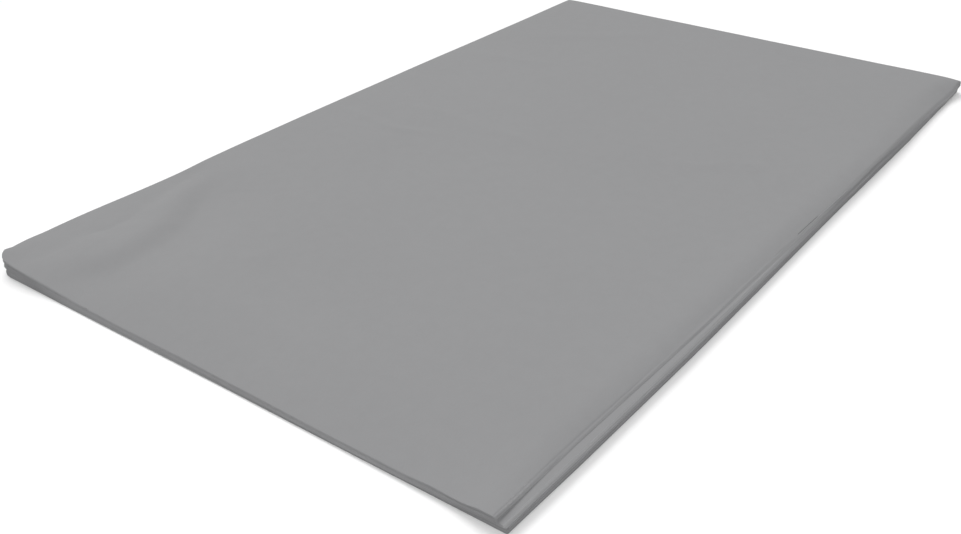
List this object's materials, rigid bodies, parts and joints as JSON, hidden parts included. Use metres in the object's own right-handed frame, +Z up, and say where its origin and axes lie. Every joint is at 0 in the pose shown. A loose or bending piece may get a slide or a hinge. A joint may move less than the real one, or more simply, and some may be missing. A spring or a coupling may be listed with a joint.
{
  "type": "tissue paper ream",
  "caption": "Flat ream of grey wrapping tissue: loose rectangular sheets stacked in quires, lifted off the top a sheet, a quire or a bundle at a time.",
  "frame": {"origin": "centre of the ream's footprint, on the surface it lies on", "axes": "+Z up through the stack, +Y along the sheets' length, +X across their width"},
  "size_m": [0.51, 0.7552, 0.0141],
  "materials": {
    "tissue_quire": "matte uncoated tissue, cut edges",
    "tissue_sheet": "matte uncoated tissue, faintly crinkled"
  },
  "bodies": {
    "bottom_bundle": {"quire_01": "tissue_quire", "quire_02": "tissue_quire", "quire_03": "tissue_quire", "quire_04": "tissue_quire", "quire_05": "tissue_quire"},
    "middle_bundle": {"quire_06": "tissue_quire", "quire_07": "tissue_quire", "quire_08": "tissue_quire", "quire_09": "tissue_quire", "quire_10": "tissue_quire"},
    "upper_bundle": {"quire_11": "tissue_quire", "quire_12": "tissue_quire", "quire_13": "tissue_quire", "quire_14": "tissue_quire", "quire_15": "tissue_quire"},
    "high_bundle": {"quire_16": "tissue_quire", "quire_17": "tissue_quire", "quire_18": "tissue_quire", "quire_19": "tissue_quire"},
    "top_quire": {"sheet_01": "tissue_sheet", "sheet_02": "tissue_sheet", "sheet_03": "tissue_sheet", "sheet_04": "tissue_sheet", "sheet_05": "tissue_sheet", "sheet_06": "tissue_sheet", "sheet_07": "tissue_sheet", "sheet_08": "tissue_sheet", "sheet_09": "tissue_sheet", "sheet_10": "tissue_sheet", "sheet_11": "tissue_sheet", "sheet_12": "tissue_sheet", "sheet_13": "tissue_sheet", "sheet_14": "tissue_sheet", "sheet_15": "tissue_sheet", "sheet_16": "tissue_sheet", "sheet_17": "tissue_sheet", "sheet_18": "tissue_sheet", "sheet_19": "tissue_sheet", "sheet_20": "tissue_sheet", "sheet_21": "tissue_sheet"},
    "third_sheet": {"sheet_22": "tissue_sheet"},
    "second_sheet": {"sheet_23": "tissue_sheet"},
    "top_sheet": {"top_sheet": "tissue_sheet"}
  },
  "joints": [
    {"name": "lift_middle_bundle", "type": "slide", "parent": "bottom_bundle", "child": "middle_bundle", "axis": [0, 0, 1], "range_m": [0, 0.02]},
    {"name": "lift_upper_bundle", "type": "slide", "parent": "middle_bundle", "child": "upper_bundle", "axis": [0, 0, 1], "range_m": [0, 0.02]},
    {"name": "lift_high_bundle", "type": "slide", "parent": "upper_bundle", "child": "high_bundle", "axis": [0, 0, 1], "range_m": [0, 0.02]},
    {"name": "lift_top_quire", "type": "slide", "parent": "high_bundle", "child": "top_quire", "axis": [0, 0, 1], "range_m": [0, 0.02]},
    {"name": "lift_third_sheet", "type": "slide", "parent": "top_quire", "child": "third_sheet", "axis": [0, 0, 1], "range_m": [0, 0.015]},
    {"name": "lift_second_sheet", "type": "slide", "parent": "third_sheet", "child": "second_sheet", "axis": [0, 0, 1], "range_m": [0, 0.015]},
    {"name": "lift_top_sheet", "type": "slide", "parent": "second_sheet", "child": "top_sheet", "axis": [0, 0, 1], "range_m": [0, 0.015]}
  ]
}
